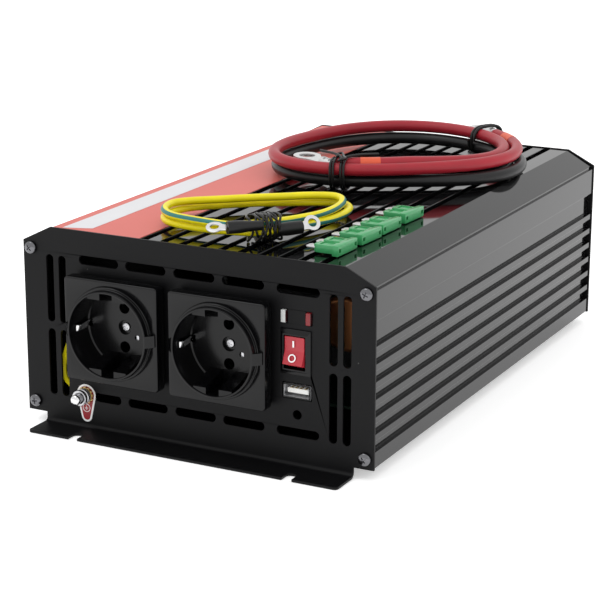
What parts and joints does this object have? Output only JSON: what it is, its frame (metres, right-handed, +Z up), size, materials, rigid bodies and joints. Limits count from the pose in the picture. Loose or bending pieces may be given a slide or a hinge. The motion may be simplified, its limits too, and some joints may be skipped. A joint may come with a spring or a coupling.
{
  "type": "power inverter",
  "caption": "Ribbed aluminium power inverter with two mains sockets, rocker switch, USB port, rear fan and battery posts, and its coiled leads and spare fuses on top",
  "frame": {"origin": "middle of the footprint, on the plane the mounting flanges stand on", "axes": "+Z up, -Y towards the socket panel, +X to the right seen from the front"},
  "size_m": [0.185, 0.3264, 0.1159],
  "materials": {
    "case_aluminium": "dark grey anodised, glossy top",
    "black_coat": "matte black powder coat",
    "black_plastic": "satin",
    "red_plastic": "gloss",
    "white_plastic": "satin",
    "clear_lens": "clear gloss",
    "red_lens": "clear gloss",
    "zinc_steel": "bright zinc plate",
    "yellow_zinc": "yellow passivated zinc",
    "brass": "bright",
    "board": "solder resist",
    "ferrite": "matte",
    "copper": "enamelled copper wire",
    "red_jacket": "smooth PVC",
    "black_jacket": "smooth PVC",
    "earth_jacket": "yellow PVC with a green stripe",
    "tinned": "tinned copper",
    "fuse_green": "translucent green"
  },
  "bodies": {
    "case": {"case_shell": "case_aluminium", "base_plate": "black_coat", "front_panel": "black_coat", "rear_panel": "black_coat", "socket_left_cover": "black_plastic", "socket_right_cover": "black_plastic", "socket_left_strap": "zinc_steel", "socket_right_strap": "zinc_steel", "socket_left_screw": "zinc_steel", "socket_right_screw": "zinc_steel", "switch_bezel": "black_plastic", "usb_shell": "zinc_steel", "usb_tongue": "white_plastic", "led_power": "clear_lens", "led_fault": "red_lens", "earth_stud": "zinc_steel", "earth_washer": "yellow_zinc", "main_board": "board", "transformer": "ferrite", "choke": "copper", "capacitor": "black_plastic", "earth_wire": "earth_jacket", "fan_frame": "black_plastic", "post_positive": "brass", "post_negative": "brass", "front_screw_1": "zinc_steel", "front_screw_2": "zinc_steel", "front_screw_3": "zinc_steel", "front_screw_4": "zinc_steel", "rear_screw_1": "zinc_steel", "rear_screw_2": "zinc_steel", "rear_screw_3": "zinc_steel", "rear_screw_4": "zinc_steel"},
    "rocker": {"switch_rocker": "red_plastic"},
    "fan": {"fan_rotor": "black_plastic"},
    "positive_knob": {"knob_positive": "red_plastic"},
    "negative_knob": {"knob_negative": "black_plastic"},
    "stud_nut": {"earth_nut": "zinc_steel"},
    "battery_leads": {"red_lead": "red_jacket", "black_lead": "black_jacket", "red_lug_front": "tinned", "red_lug_rear": "tinned", "black_lug_front": "tinned", "black_lug_rear": "tinned", "lead_tie_front": "black_jacket", "lead_tie_rear": "black_jacket"},
    "earth_lead": {"ground_lead": "earth_jacket", "ground_sleeve_1": "black_jacket", "ground_sleeve_2": "black_jacket", "ground_lug_1": "tinned", "ground_lug_2": "tinned", "ground_tie": "black_jacket"},
    "fuse_1": {"fuse_1_body": "fuse_green", "fuse_1_blades": "zinc_steel"},
    "fuse_2": {"fuse_2_body": "fuse_green", "fuse_2_blades": "zinc_steel"},
    "fuse_3": {"fuse_3_body": "fuse_green", "fuse_3_blades": "zinc_steel"},
    "fuse_4": {"fuse_4_body": "fuse_green", "fuse_4_blades": "zinc_steel"}
  },
  "joints": [
    {"name": "rocker_tilt", "type": "hinge", "parent": "case", "child": "rocker", "pos_m": [0.05345, -0.1438, 0.0554], "axis": [1, 0, 0], "range_deg": [0, 22]},
    {"name": "fan_spin", "type": "hinge", "parent": "case", "child": "fan", "pos_m": [0.038, 0.13, 0.052], "axis": [0, 1, 0], "continuous": true},
    {"name": "positive_knob_turn", "type": "hinge", "parent": "case", "child": "positive_knob", "pos_m": [-0.028, 0.153, 0.052], "axis": [0, 1, 0], "continuous": true},
    {"name": "negative_knob_turn", "type": "hinge", "parent": "case", "child": "negative_knob", "pos_m": [-0.062, 0.153, 0.052], "axis": [0, 1, 0], "continuous": true},
    {"name": "earth_nut_turn", "type": "hinge", "parent": "case", "child": "stud_nut", "pos_m": [-0.0592, -0.15115, 0.0175], "axis": [0, 1, 0], "continuous": true},
    {"name": "battery_leads_lift", "type": "slide", "parent": "case", "child": "battery_leads", "axis": [0, 0, 1], "range_m": [0, 0.12]},
    {"name": "earth_lead_lift", "type": "slide", "parent": "case", "child": "earth_lead", "axis": [0, 0, 1], "range_m": [0, 0.12]},
    {"name": "fuse_1_lift", "type": "slide", "parent": "case", "child": "fuse_1", "axis": [0, 0, 1], "range_m": [0, 0.06]},
    {"name": "fuse_2_lift", "type": "slide", "parent": "case", "child": "fuse_2", "axis": [0, 0, 1], "range_m": [0, 0.06]},
    {"name": "fuse_3_lift", "type": "slide", "parent": "case", "child": "fuse_3", "axis": [0, 0, 1], "range_m": [0, 0.06]},
    {"name": "fuse_4_lift", "type": "slide", "parent": "case", "child": "fuse_4", "axis": [0, 0, 1], "range_m": [0, 0.06]}
  ]
}
